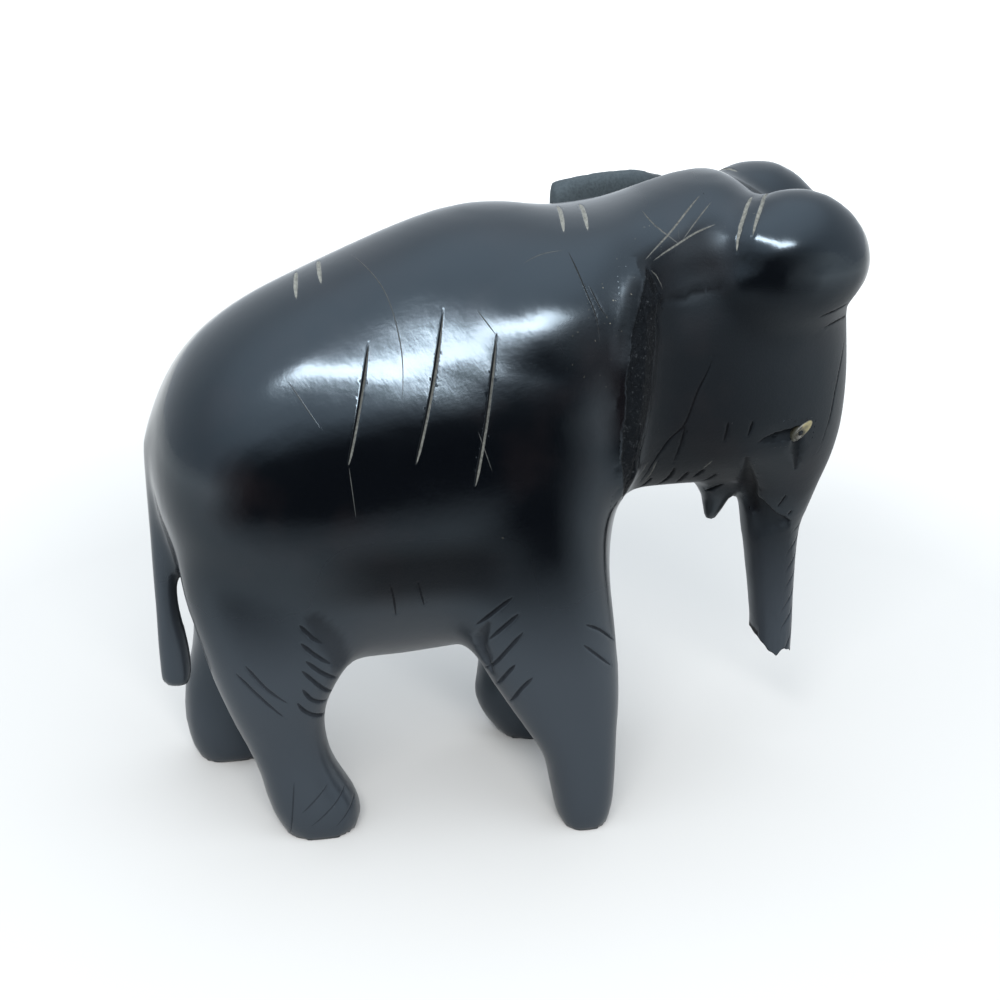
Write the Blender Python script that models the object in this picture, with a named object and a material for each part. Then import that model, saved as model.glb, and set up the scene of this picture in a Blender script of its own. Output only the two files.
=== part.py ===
# Ebony elephant figurine: one carved solid that stands on its four feet, and two bone eye inlays.
# X runs from the tail to the head, Y to the animal's left, Z up; the ground is Z = 0.
# Sizes below are in millimetres; every vertex is stored in metres.
import math

import bmesh
import bpy
import numpy as np
from mathutils import Matrix, Vector, noise

MM = 0.001                 # one millimetre in metres

# ---- driving dimensions, mm ----
BODY_HALF_WIDTH = 19.4     # barrel, at its widest
RUMP_X = -49.3             # rearmost point of the rump
CROWN_Z = 91.2             # top of the head
WITHERS_Z = 88.1           # top of the back
BELLY_Z = 23.0             # lowest point of the belly
DOME_SPREAD = 8.1          # centre of each forehead dome from the middle
LEFT_DOME_RISE = 0.4       # the left dome is carved a little higher than the right one
EAR_THICK = 3.0            # the whole left ear
EAR_FLARE = 22.0           # degrees between the ear and the neck
EAR_ROOT = (10.6, 15.0, 0.0)  # where the rear edge of the ear meets the neck
EYE_AT = (40.8, 11.4, 56.3)  # centre of each eye inlay: along, out, up
EYE_LONG = 4.1             # the inlay is an oval that slants up toward the forehead
EYE_WIDE = 2.3
EYE_SLANT = 46.0           # degrees
EYE_PROUD = 0.25           # how far the inlay stands out of the cheek
EYE_DEPTH = 2.2            # length of the bone peg behind the cheek
FIT_GAP = 0.3              # clearance between a peg and its socket
TRUNK_END_Z = 17.3         # where the trunk is broken off
TAIL_END_Z = 19.3          # square end of the tail
BLEND_VOXEL = 1.2          # grid that melts the big masses together
DETAIL_VOXEL = 0.95        # grid that adds the thin parts
FACES_KEPT = 8600          # triangles of the finished elephant

# Each row: place along the axis, then the low and high limits of the section on the two other axes.
TORSO = (                  # along X: y low, y high, z low, z high
    (RUMP_X, -2.2, 2.2, 54.0, 57.6),
    (-48.6, -6.6, 6.6, 48.5, 60.2),
    (-47.2, -10.6, 10.6, 43.0, 63.4),
    (-44.6, -14.0, 14.0, 37.0, 68.0),
    (-40.8, -16.6, 16.6, 31.5, 72.2),
    (-34.8, -18.4, 18.4, 27.0, 76.2),
    (-27.0, -19.2, 19.2, 23.4, 79.9),
    (-18.0, -BODY_HALF_WIDTH, BODY_HALF_WIDTH, BELLY_Z - 0.6, 83.7),
    (-9.5, -19.3, 19.3, BELLY_Z, 86.9),
    (-2.0, -19.2, 19.2, 23.8, WITHERS_Z),
    (5.0, -18.8, 18.8, 26.0, 87.4),
    (10.5, -17.8, 17.8, 29.5, 85.5),
    (13.6, -15.4, 15.4, 34.0, 80.0),
    (15.0, -10.0, 10.0, 40.5, 70.0),
)
HEAD = (                   # along X: y low, y high, z low, z high
    (2.0, -16.5, 16.5, 52.0, 85.0),
    (9.0, -16.8, 16.8, 48.5, 86.7),
    (14.0, -16.2, 16.2, 46.6, 87.2),
    (17.6, -15.0, 15.0, 46.2, 88.3),
    (19.4, -13.2, 13.2, 46.0, 89.0),
    (23.0, -12.6, 12.6, 46.0, 90.2),
    (27.0, -12.4, 12.4, 46.0, CROWN_Z),
    (31.0, -12.2, 12.2, 46.0, 91.0),
    (35.0, -11.8, 11.8, 46.0, 88.4),
    (40.0, -11.0, 11.0, 47.5, 84.5),
    (44.5, -9.0, 9.0, 51.0, 80.5),
    (47.4, -7.0, 7.0, 55.0, 75.5),
)
FACE = (                   # along Z: x low, x high, y low, y high
    (81.0, 14.0, 45.5, -10.0, 10.0),
    (78.0, 10.0, 47.4, -12.0, 12.0),
    (72.5, 8.0, 48.9, -12.9, 12.9),
    (67.0, 8.0, 49.4, -13.0, 13.0),
    (62.5, 8.0, 49.8, -12.9, 12.9),
    (58.0, 9.0, 49.8, -12.6, 12.6),
    (54.0, 16.0, 49.4, -11.6, 11.6),
    (50.0, 28.5, 48.6, -9.4, 9.4),
    (46.5, 34.5, 47.4, -7.8, 7.8),
    (43.0, 36.5, 46.3, -6.8, 6.8),
    (40.0, 38.5, 45.6, -5.8, 5.8),
)
TRUNK = (                  # along Z: x low, x high, y low, y high
    (48.0, 35.2, 47.0, -6.0, 6.0),
    (44.0, 35.7, 46.2, -5.4, 5.4),
    (38.6, 36.2, 45.5, -4.9, 4.9),
    (33.0, 37.2, 45.3, -4.6, 4.6),
    (27.0, 38.0, 45.3, -4.4, 4.4),
    (21.0, 38.9, 45.3, -4.2, 4.2),
    (13.0, 39.8, 45.2, -4.1, 4.1),
)
HIND_LEG_NEAR = (          # along Z: x low, x high, y low, y high
    (-2.5, -33.0, -24.0, -14.6, -5.0),
    (0.0, -33.6, -22.8, -15.3, -4.2),
    (2.0, -35.0, -21.8, -15.7, -3.6),
    (5.0, -36.0, -22.9, -15.5, -3.6),
    (9.0, -36.7, -25.3, -15.0, -4.0),
    (13.0, -38.1, -26.7, -14.8, -4.0),
    (17.0, -39.8, -27.0, -15.2, -3.6),
    (21.0, -41.2, -26.4, -16.0, -3.0),
    (25.0, -42.7, -23.8, -16.6, -2.0),
    (32.0, -44.6, -22.0, -16.6, -1.5),
    (40.0, -46.2, -18.0, -15.6, -1.0),
    (50.0, -45.0, -18.0, -12.0, -1.0),
)
HIND_LEG_FAR = (
    (-2.0, -44.6, -35.5, 10.0, 18.0),
    (0.0, -45.4, -34.6, 8.6, 18.6),
    (2.0, -46.2, -33.6, 8.1, 19.2),
    (6.0, -46.9, -33.8, 8.0, 19.2),
    (12.0, -46.7, -34.8, 8.2, 18.6),
    (16.0, -45.9, -34.6, 7.8, 18.2),
    (20.0, -45.0, -33.0, 6.8, 18.0),
    (26.0, -45.0, -28.0, 4.5, 17.6),
    (32.0, -45.0, -24.0, 2.5, 16.8),
    (40.0, -46.2, -19.0, 1.0, 15.6),
    (50.0, -45.0, -18.0, 1.0, 12.0),
)
FORE_LEG_NEAR = (
    (-2.5, 6.2, 12.4, -19.8, -11.0),
    (0.0, 5.6, 13.2, -20.3, -10.4),
    (3.0, 4.9, 14.0, -20.4, -9.8),
    (7.0, 4.2, 14.2, -20.2, -9.8),
    (11.0, 3.3, 14.4, -20.0, -9.8),
    (15.0, 0.8, 14.6, -19.8, -9.6),
    (19.0, -1.7, 14.8, -19.6, -9.2),
    (23.0, -4.3, 14.9, -19.7, -8.4),
    (28.0, -6.8, 14.7, -19.8, -7.0),
    (34.0, -8.6, 14.0, -19.8, -5.0),
    (42.0, -9.0, 13.2, -19.6, -3.0),
    (54.0, -7.0, 12.2, -18.8, -2.0),
    (64.0, -4.0, 11.0, -16.5, -2.0),
)
FORE_LEG_FAR = (
    (-2.0, 3.6, 12.0, 8.0, 15.0),
    (0.0, 2.0, 12.8, 7.4, 16.0),
    (3.0, -0.6, 13.8, 6.8, 17.0),
    (7.0, -2.2, 14.2, 6.6, 17.4),
    (13.0, -1.2, 14.4, 6.6, 17.8),
    (19.0, -2.4, 14.8, 6.6, 18.2),
    (25.0, -5.0, 14.9, 5.6, 19.2),
    (32.0, -8.4, 14.2, 4.0, 19.6),
    (42.0, -9.0, 13.2, 2.4, 19.4),
    (54.0, -7.0, 12.2, 2.0, 18.8),
    (64.0, -4.0, 11.0, 2.0, 16.5),
)
LIP = (
    (48.0, 28.0, 37.0, -5.0, 5.0),
    (44.5, 29.4, 35.2, -3.6, 3.6),
    (42.0, 30.5, 33.9, -2.4, 2.4),
    (39.0, 31.5, 32.6, -0.9, 0.9),
)
TAIL = (
    (62.0, -47.5, -43.0, -2.4, 2.4),
    (57.0, -49.5, -44.5, -2.8, 2.8),
    (50.0, -49.6, -45.5, -2.8, 2.8),
    (40.0, -49.6, -46.2, -2.6, 2.6),
    (32.0, -49.6, -46.4, -2.4, 2.4),
    (25.0, -49.7, -45.2, -2.4, 2.4),
    (TAIL_END_Z, -49.6, -45.0, -2.5, 2.5),
)


def between(rows, fraction_index, fraction):
    """Catmull-Rom value between row fraction_index and the next one."""
    last = len(rows) - 1
    a = rows[max(fraction_index - 1, 0)]
    b = rows[fraction_index]
    c = rows[min(fraction_index + 1, last)]
    d = rows[min(fraction_index + 2, last)]
    t = fraction
    return 0.5 * (2 * b + (c - a) * t + (2 * a - 5 * b + 4 * c - d) * t * t
                  + (3 * b - a - 3 * c + d) * t * t * t)


def loft(name, axis, rows, power=2.2, sides=48, steps=4):
    """Closed skin through rounded sections; power 2 is an ellipse, more is squarer."""
    rows = np.array(rows, dtype=float)
    order = {"X": (0, 1, 2), "Z": (2, 0, 1)}[axis]
    bm = bmesh.new()
    rings = []
    for index in range(len(rows) - 1):
        for step in range(steps if index < len(rows) - 2 else steps + 1):
            place, low_a, high_a, low_b, high_b = between(rows, index, step / steps)
            ring = []
            for side in range(sides):
                angle = math.tau * side / sides
                cos, sin = math.cos(angle), math.sin(angle)
                point = [0.0, 0.0, 0.0]
                point[order[0]] = place
                point[order[1]] = (low_a + high_a) / 2 + (high_a - low_a) / 2 * soften(cos, power)
                point[order[2]] = (low_b + high_b) / 2 + (high_b - low_b) / 2 * soften(sin, power)
                ring.append(bm.verts.new(Vector(point) * MM))
            rings.append(ring)
    for ring, following in zip(rings, rings[1:]):
        for side in range(sides):
            nxt = (side + 1) % sides
            bm.faces.new((ring[side], ring[nxt], following[nxt], following[side]))
    bm.faces.new(rings[0])
    bm.faces.new(rings[-1])
    bmesh.ops.recalc_face_normals(bm, faces=bm.faces)
    return finish_mesh(name, bm)


def soften(value, power):
    return math.copysign(abs(value) ** (2 / power), value)


def finish_mesh(name, bm):
    mesh = bpy.data.meshes.new(name)
    bm.to_mesh(mesh)
    bm.free()
    obj = bpy.data.objects.new(name, mesh)
    bpy.context.scene.collection.objects.link(obj)
    return obj


def ellipsoid(name, centre, radii):
    bm = bmesh.new()
    place = Matrix.Translation(Vector(centre) * MM) @ Matrix.Diagonal(Vector(radii) * MM).to_4x4()
    bmesh.ops.create_uvsphere(bm, u_segments=40, v_segments=24, radius=1.0, matrix=place)
    return finish_mesh(name, bm)


def join(name, pieces):
    bm = bmesh.new()
    for piece in pieces:
        bm.from_mesh(piece.data)
        bpy.data.objects.remove(piece)
    return finish_mesh(name, bm)


def melt(obj, voxel, smoothing):
    """Fuses overlapping masses into one skin and rounds the joins."""
    remesh = obj.modifiers.new("Fuse", "REMESH")
    remesh.mode = "VOXEL"
    remesh.voxel_size = voxel * MM
    if smoothing:
        smooth = obj.modifiers.new("Round", "SMOOTH")
        smooth.factor = 0.5
        smooth.iterations = smoothing
    apply_modifiers(obj)


def blend_body(obj):
    """Rounds the hips and shoulders into the barrel and leaves feet, trunk and domes alone."""
    group = obj.vertex_groups.new(name="barrel")
    for vertex in obj.data.vertices:
        x, _, z = vertex.co / MM
        weight = min(max((z - 20) / 8, 0), 1) * min(max((20 - x) / 6, 0), 1)
        group.add([vertex.index], weight, "REPLACE")
    smooth = obj.modifiers.new("Blend", "SMOOTH")
    smooth.factor = 0.6
    smooth.iterations = 24
    smooth.vertex_group = "barrel"
    apply_modifiers(obj)


def apply_modifiers(obj):
    graph = bpy.context.evaluated_depsgraph_get()
    mesh = bpy.data.meshes.new_from_object(obj.evaluated_get(graph))
    obj.modifiers.clear()
    obj.data = mesh


def boolean(obj, tool, operation):
    modifier = obj.modifiers.new("Cut", "BOOLEAN")
    modifier.operation = operation
    modifier.solver = "EXACT"
    modifier.object = tool
    apply_modifiers(obj)
    bpy.data.objects.remove(tool)


def press(obj, start, end, radius, depth):
    """Moves the skin near a line inward by depth, or outward when depth is negative."""
    a = Vector(start) * MM
    b = Vector(end) * MM
    along = b - a
    moves = []
    for vertex in obj.data.vertices:
        t = (vertex.co - a).dot(along) / max(along.length_squared, 1e-12)
        gap = (vertex.co - (a + along * min(max(t, 0.0), 1.0))).length / (radius * MM)
        if gap < 1.0:
            moves.append((vertex.index, vertex.normal * (-depth * MM * (1 - gap * gap) ** 2)))
    for index, move in moves:
        obj.data.vertices[index].co += move


# ---- the carved elephant ----
def big_masses():
    pieces = [
        loft("Torso", "X", TORSO, power=2.0),
        loft("Head", "X", HEAD, power=2.5),
        loft("Face", "Z", FACE, power=3.0),
        loft("Trunk", "Z", TRUNK, power=2.3),
        loft("Hind leg near", "Z", HIND_LEG_NEAR, power=2.6),
        loft("Hind leg far", "Z", HIND_LEG_FAR, power=2.4),
        loft("Fore leg near", "Z", FORE_LEG_NEAR, power=2.4),
        loft("Fore leg far", "Z", FORE_LEG_FAR, power=2.4),
    ]
    for side, rise in ((-1, 0.0), (1, LEFT_DOME_RISE)):
        pieces.append(ellipsoid("Dome", (38.4, side * DOME_SPREAD, 79.5 + rise), (10.9, 5.4, 10.4)))
        pieces.append(ellipsoid("Brow", (37.8, side * (DOME_SPREAD + 3.2), 78.9), (10.4, 4.8, 7.6)))
    body = join("elephant", pieces)
    melt(body, BLEND_VOXEL, 4)
    blend_body(body)
    return body


def ear_axes():
    """Directions along the slab of the left ear and out of its outer face."""
    flare = math.radians(EAR_FLARE)
    return Vector((math.cos(flare), math.sin(flare), 0.0)), Vector((-math.sin(flare), math.cos(flare), 0.0))


def ear_plate():
    """The whole left ear: a slab that stands off the neck and flares forward and out."""
    outline = (            # along the slab, up
        (0.2, 83.5), (0.0, 86.5), (8.0, 87.3), (16.0, 87.0), (22.0, 85.2), (24.2, 80.0),
        (23.5, 72.0), (20.0, 62.0), (14.0, 54.0), (8.0, 50.0), (4.0, 50.0), (2.0, 60.0), (0.5, 72.0),
    )
    forward, outward = ear_axes()
    bm = bmesh.new()
    flat = [bm.verts.new((Vector(EAR_ROOT) + forward * s + Vector((0, 0, z))) * MM) for s, z in outline]
    face = bm.faces.new(flat)
    moved = bmesh.ops.extrude_face_region(bm, geom=[face])["geom"]
    thick = [item for item in moved if isinstance(item, bmesh.types.BMVert)]
    bmesh.ops.translate(bm, verts=thick, vec=outward * EAR_THICK * MM)
    bmesh.ops.recalc_face_normals(bm, faces=bm.faces)
    return finish_mesh("Ear", bm)


def ear_stump():
    """What is left of the right ear: a low band of broken wood."""
    rows = (               # along Z: x low, x high, y low, y high
        (82.0, 16.8, 17.8, -14.6, -11.0),
        (79.0, 15.8, 18.9, -16.0, -11.0),
        (74.0, 14.8, 19.1, -16.8, -11.0),
        (67.0, 13.8, 18.8, -17.2, -11.0),
        (59.0, 13.0, 17.8, -17.2, -11.0),
        (53.0, 12.8, 16.4, -16.6, -11.0),
        (48.5, 13.8, 15.2, -14.4, -11.0),
    )
    return loft("Stump", "Z", rows, power=3.5)


def cut_box(name, low, high):
    bm = bmesh.new()
    size = Vector(high) - Vector(low)
    centre = (Vector(high) + Vector(low)) / 2
    place = Matrix.Translation(centre * MM) @ Matrix.Diagonal(size * MM).to_4x4()
    bmesh.ops.create_cube(bm, size=1.0, matrix=place)
    return finish_mesh(name, bm)


def broken_end():
    """A block under the trunk whose top is torn wood: high at the back, splintered in front."""
    bm = bmesh.new()
    count = 14
    centre = Vector((42.0, 0.0, 0.0))
    bmesh.ops.create_grid(bm, x_segments=count, y_segments=count, size=8.0 * MM)
    for vertex in bm.verts:
        along = vertex.co.x / MM
        across = vertex.co.y / MM
        teeth = noise.noise(Vector((along * 0.9, across * 0.6, 3.0))) * 1.5
        height = TRUNK_END_Z + teeth + 3.4 * max(0.0, min(1.0, (-1.0 - along) / 2.2))
        vertex.co = (centre + Vector((along, across, height))) * MM
    top = bm.faces[:]
    moved = bmesh.ops.extrude_face_region(bm, geom=top)["geom"]
    for item in moved:
        if isinstance(item, bmesh.types.BMVert):
            item.co.z = 2.0 * MM
    bmesh.ops.recalc_face_normals(bm, faces=bm.faces)
    return finish_mesh("Broken end", bm)


def carve_forms(body):
    """Hollows and steps that the knife left, on both sides, and the dished outer face of the ear."""
    for side in (-1, 1):
        press(body, (20, side * 14, 80), (31, side * 13, 81), 3.2, 1.3)       # temple hollow
        press(body, (34.8, side * 12, 55.4), (38.4, side * 12, 56.2), 1.3, 0.8)  # rear half of the eye
        press(body, (36.0, side * 6, 45), (34.2, side * 10, 50), 1.6, 0.9)    # mouth corner
        press(body, (22, side * 12, 50), (32, side * 11, 51), 4.5, -0.4)      # cheek
    forward, outward = ear_axes()
    ear_middle = Vector(EAR_ROOT) + forward * 14.0 + outward * (EAR_THICK + 3.0)
    press(body, ear_middle + Vector((0, 0, 66)), ear_middle + Vector((0, 0, 78)), 9.5, 1.0)


def thin_parts(body):
    parts = [body, loft("Lip", "Z", LIP, power=2.2), loft("Tail", "Z", TAIL, power=4.0),
             ear_plate(), ear_stump()]
    body = join("elephant", parts)
    melt(body, DETAIL_VOXEL, 2)
    return body


def eye_frame(side):
    """Matrix of an eye: Z points out of the cheek and X runs along the oval."""
    along, out, up = EYE_AT
    facing = Vector((0.3, side * 0.93, -0.2)).normalized()
    turn = facing.to_track_quat("Z", "Y").to_matrix().to_4x4()
    slant = Matrix.Rotation(math.radians(-side * EYE_SLANT), 4, "Z")
    return Matrix.Translation(Vector((along, side * out, up)) * MM) @ turn @ slant


def peg(name, side, gap, front, back):
    """Oval peg through an eye, grown by gap all around."""
    bm = bmesh.new()
    oval = Matrix.Diagonal((EYE_LONG / 2 + gap, EYE_WIDE / 2 + gap, 1.0, 1.0))
    place = eye_frame(side) @ Matrix.Translation((0, 0, (front - back) / 2 * MM)) @ oval
    bmesh.ops.create_cone(bm, cap_ends=True, segments=24, radius1=MM, radius2=MM,
                          depth=(front + back) * MM, matrix=place)
    return finish_mesh(name, bm)


def centre_on_origin(objects):
    """Puts the middle of the footprint of everything on the origin."""
    points = [vertex.co for obj in objects for vertex in obj.data.vertices]
    middle = [(min(p[i] for p in points) + max(p[i] for p in points)) / 2 for i in (0, 1)]
    for obj in objects:
        obj.data.transform(Matrix.Translation((-middle[0], -middle[1], 0.0)))


def material(name, colour, roughness):
    made = bpy.data.materials.new(name)
    made.use_nodes = True
    shader = made.node_tree.nodes["Principled BSDF"]
    shader.inputs["Base Color"].default_value = (*colour, 1.0)
    shader.inputs["Roughness"].default_value = roughness
    shader.inputs["Metallic"].default_value = 0.0
    return made


def shade(obj, made):
    obj.data.materials.clear()
    obj.data.materials.append(made)
    obj.data.shade_smooth()


def build():
    for obj in list(bpy.data.objects):
        bpy.data.objects.remove(obj, do_unlink=True)
    elephant = thin_parts(big_masses())
    carve_forms(elephant)
    thin = elephant.modifiers.new("Thin", "DECIMATE")
    thin.ratio = FACES_KEPT / sum(len(p.vertices) - 2 for p in elephant.data.polygons)
    apply_modifiers(elephant)
    boolean(elephant, cut_box("Ground", (-80, -60, -20), (80, 60, 0)), "DIFFERENCE")
    boolean(elephant, cut_box("Tail end", (-60, -8, 2), (-43, 6, TAIL_END_Z)), "DIFFERENCE")
    boolean(elephant, broken_end(), "DIFFERENCE")
    eyes = []
    for side, name in ((-1, "eye_inlay_right"), (1, "eye_inlay_left")):
        boolean(elephant, peg("Socket", side, FIT_GAP, 4.0, EYE_DEPTH + FIT_GAP), "DIFFERENCE")
        eyes.append(peg(name, side, 0.0, EYE_PROUD, EYE_DEPTH))
    centre_on_origin([elephant] + eyes)
    ebony = material("ebony", (0.012, 0.013, 0.016), 0.3)
    bone = material("bone", (0.72, 0.66, 0.48), 0.45)
    shade(elephant, ebony)
    for eye in eyes:
        shade(eye, bone)


build()
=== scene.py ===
# Ebony elephant with bone eyes, carved by hand and waxed. Settings are in millimetres.
# A place on the figure is given as along (tail to head), out (from its middle plane) and up.
import math
import random
from functools import partial

import bmesh
import bpy
import numpy as np
from mathutils import Matrix, Vector, noise
from mathutils.bvhtree import BVHTree


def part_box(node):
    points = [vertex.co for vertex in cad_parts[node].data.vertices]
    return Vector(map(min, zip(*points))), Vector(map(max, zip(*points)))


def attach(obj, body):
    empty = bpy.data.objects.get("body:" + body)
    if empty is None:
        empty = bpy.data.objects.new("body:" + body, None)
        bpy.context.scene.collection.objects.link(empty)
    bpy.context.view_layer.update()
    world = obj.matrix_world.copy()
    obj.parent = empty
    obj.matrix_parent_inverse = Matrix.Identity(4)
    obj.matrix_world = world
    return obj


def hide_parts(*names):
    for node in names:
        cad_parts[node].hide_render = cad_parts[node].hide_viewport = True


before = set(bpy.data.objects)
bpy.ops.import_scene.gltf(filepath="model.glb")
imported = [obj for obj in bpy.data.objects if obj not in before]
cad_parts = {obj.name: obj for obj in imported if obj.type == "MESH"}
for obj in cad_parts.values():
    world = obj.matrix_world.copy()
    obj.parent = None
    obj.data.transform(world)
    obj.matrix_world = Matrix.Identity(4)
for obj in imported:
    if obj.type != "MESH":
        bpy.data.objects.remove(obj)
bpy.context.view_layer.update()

mm = 0.001
far = 99.0      # past the end of the figure on any side
eyeBoxes = {-1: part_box("eye_inlay_right"), 1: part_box("eye_inlay_left")}  # by side: right is -1
middle = (eyeBoxes[1][0].y + eyeBoxes[-1][1].y) / 2 / mm                 # y of the middle plane
right, both = (-1,), (-1, 1)   # the sides that strokes are cut on


def linear(hexColour):
    channels = [int(hexColour[i:i + 2], 16) / 255 for i in (1, 3, 5)]
    return [c / 12.92 if c <= 0.04045 else ((c + 0.055) / 1.055) ** 2.4 for c in channels] + [1.0]


def addNode(tree, kind, inputs=None, take=0, **settings):
    # adds a shader node and returns the output that is wanted from it
    node = tree.nodes.new("ShaderNode" + kind)
    for name, value in settings.items():
        setattr(node, name, value)
    for name, value in (inputs or {}).items():
        if isinstance(value, bpy.types.NodeSocket):
            tree.links.new(value, node.inputs[name])
        else:
            node.inputs[name].default_value = value
    return node.outputs[take] if node.outputs else node


def newObject(name, mesh):
    obj = bpy.data.objects.new(name, mesh)
    bpy.context.scene.collection.objects.link(obj)
    return obj


def meshFrom(bm, name):
    mesh = bpy.data.meshes.new(name)
    bm.to_mesh(mesh)
    bm.free()
    return mesh


def applyModifiers(obj):
    graph = bpy.context.evaluated_depsgraph_get()
    mesh = bpy.data.meshes.new_from_object(obj.evaluated_get(graph))
    obj.modifiers.clear()
    obj.data = mesh


def places(mesh):
    co = np.zeros(len(mesh.vertices) * 3)
    mesh.vertices.foreach_get("co", co)
    return co.reshape(-1, 3) / mm


def putPlaces(mesh, co):
    mesh.vertices.foreach_set("co", (co * mm).ravel())
    mesh.update()


def directions(mesh):
    return np.array([v.normal for v in mesh.vertices])


def ramp(value, start, full):
    # from 0 at start to 1 at full, which may be the lower of the two
    t = np.clip((value - start) / (full - start), 0.0, 1.0)
    return t * t * (3 - 2 * t)


def band(value, start, full, fade=None, end=None):
    # a ramp up, and where it is asked for a ramp back down from fade to end
    share = ramp(value, start, full)
    return share if end is None else share * ramp(value, end, fade)


def measure(co, name):
    out = middle - co[:, 1]
    return {"along": co[:, 0], "up": co[:, 2], "right": out, "left": -out, "out": np.abs(out)}[name]


def zoneShare(co, **zone):
    # 1 inside a zone and 0 outside, given as a band for each measure
    share = np.ones(len(co))
    for name, edges in zone.items():
        share *= band(measure(co, name), *edges)
    return share


def within(co, **box):
    inside = np.ones(len(co), bool)
    for name, (low, high) in box.items():
        inside &= (measure(co, name) > low) & (measure(co, name) < high)
    return inside


# The wood blank is the carved solid with an even skin.
wood = {
    "voxel": 0.9,
    "plug": (2.6, 1.7, 2.9),    # half length, half width and depth of what fills an eye socket
    "softening": 0.5,           # how far one round of smoothing goes
    "broadRounds": 20,          # smoothing of body, head and legs
    "fineRounds": 4,            # smoothing of everything but the far ear
    "soleShare": 0.3,           # of the broad smoothing, at the soles
    "soleEdge": (0.15, 2.2),
    "soleTop": 0.2,             # what lies below it stays flat
    "margins": (1.1, 0.42),     # edges this near a carved stroke are halved, once for each
    "longCutMargin": 0.22,      # and once more on the long cuts of the flank
}
crisp = {       # what the broad smoothing passes over
    "tail": dict(along=(-44, -46.5), up=(62, 50)),
    "leftEar": dict(along=(9, 12), left=(15.5, 17.5)),
    "earStump": dict(along=(12, 13.5, 19, 20.5), right=(14.2, 15.6), up=(46, 50)),
    "lip": dict(along=(25, 28, 34, 36), up=(48.5, 46)),
}
trunkTip = {"along": 42.0, "up": 17.5, "reach": (4.0, 9.0)}
earTop = dict(left=(12.5, 14.5), along=(8.5, 9.5, 24, 26), up=(60, 64))
earTopKept = 0.75       # of the fine smoothing that the top of the far ear goes without
eyeSet = {"facing": (0.3, 0.93, -0.2), "turn": 46.0, "rise": 0.975}     # how an eye lies in the cheek


def eyeFrame(side):
    low, high = eyeBoxes[side]
    along, out, up = eyeSet["facing"]
    facing = Vector((along, side * out, up)).normalized()
    turn = facing.to_track_quat("Z", "Y").to_matrix().to_4x4()
    slant = Matrix.Rotation(math.radians(-side * eyeSet["turn"]), 4, "Z")
    return Matrix.Translation((low + high) / 2 + facing * eyeSet["rise"] * mm) @ turn @ slant


def makeBlank():
    bm = bmesh.new()
    bm.from_mesh(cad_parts["elephant"].data)
    bmesh.ops.remove_doubles(bm, verts=bm.verts, dist=1e-6)
    halfLong, halfWide, deep = wood["plug"]
    for side in both:       # the wood closes up to the inlay
        plug = Matrix.Translation((0, 0, -deep / 2 * mm)) @ Matrix.Diagonal((halfLong, halfWide, 1, 1))
        bmesh.ops.create_cone(bm, cap_ends=True, segments=32, radius1=mm, radius2=mm, depth=deep * mm,
                              matrix=eyeFrame(side) @ plug)
    blank = newObject("ebonyElephant", meshFrom(bm, "ebonyElephant"))
    remesh = blank.modifiers.new("Even", "REMESH")
    remesh.mode = "VOXEL"
    remesh.voxel_size = wood["voxel"] * mm
    applyModifiers(blank)
    return blank


def smoothBlank(blank):
    co = places(blank.data)
    up = co[:, 2]
    broad = wood["soleShare"] + (1 - wood["soleShare"]) * ramp(up, *wood["soleEdge"])
    broad *= ramp(np.hypot(co[:, 0] - trunkTip["along"], up - trunkTip["up"]), *trunkTip["reach"])
    for zone in crisp.values():
        broad *= 1 - zoneShare(co, **zone)
    fine = 1 - earTopKept * zoneShare(co, **earTop)
    for name, rounds, weights in (("Broad", wood["broadRounds"], broad), ("Fine", wood["fineRounds"], fine)):
        group = blank.vertex_groups.new(name=name)
        for index, weight in enumerate(weights):
            group.add([index], float(weight), "REPLACE")
        smooth = blank.modifiers.new(name, "SMOOTH")
        smooth.factor = wood["softening"]
        smooth.iterations = rounds
        smooth.vertex_group = name
    applyModifiers(blank)
    blank.vertex_groups.clear()
    co = places(blank.data)
    co[:, 2] = np.where(up < wood["soleTop"], np.maximum(up, 0.0), co[:, 2])
    putPlaces(blank.data, co)


fullness = [    # places a little fuller or flatter than the solid: how far the wood moves, out or by a step
    dict(centre=(37.5, 14.5, 87.8), reach=8.0, long=0.5, out=1.0, step=(0, 0, 0.2)),
    dict(centre=(38.5, 15.5, 79.0), reach=8.5, long=0.5, out=-0.3),
    dict(centre=(45.0, 12.0, 88.0), reach=7.0, long=0.9, out=0.5),
    dict(centre=(28.5, 12.5, 83.0), reach=8.0, long=1.0, out=0.8),
    dict(centre=(39.0, 10.0, 90.5), reach=8.0, long=0.8, out=0.2, step=(0, 0, 0.2)),
    dict(centre=(49.5, 11.0, 82.0), reach=10.0, long=1.0, step=(1.2, 0, 0)),
    dict(centre=(3.0, 15.5, 75.5), reach=8.0, long=0.8, out=0.4),
    dict(centre=(-16.0, 18.5, 62.0), reach=9.0, long=0.6, out=0.3),
    dict(centre=(-17.0, 14.0, 76.0), reach=8.0, long=0.5, out=-0.25),
    dict(centre=(31.9, 0.0, 40.6), reach=2.8, long=0.8, step=(-0.2, 0, -0.5)),
]
stumpFront = dict(along=(15.5, 18, 20.5, 22), right=(12.6, 14.4), up=(50, 55, 74.5, 77.5))
stumpThinned = 0.8      # the broken ear is thinner in front than the solid it is cut from


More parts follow.
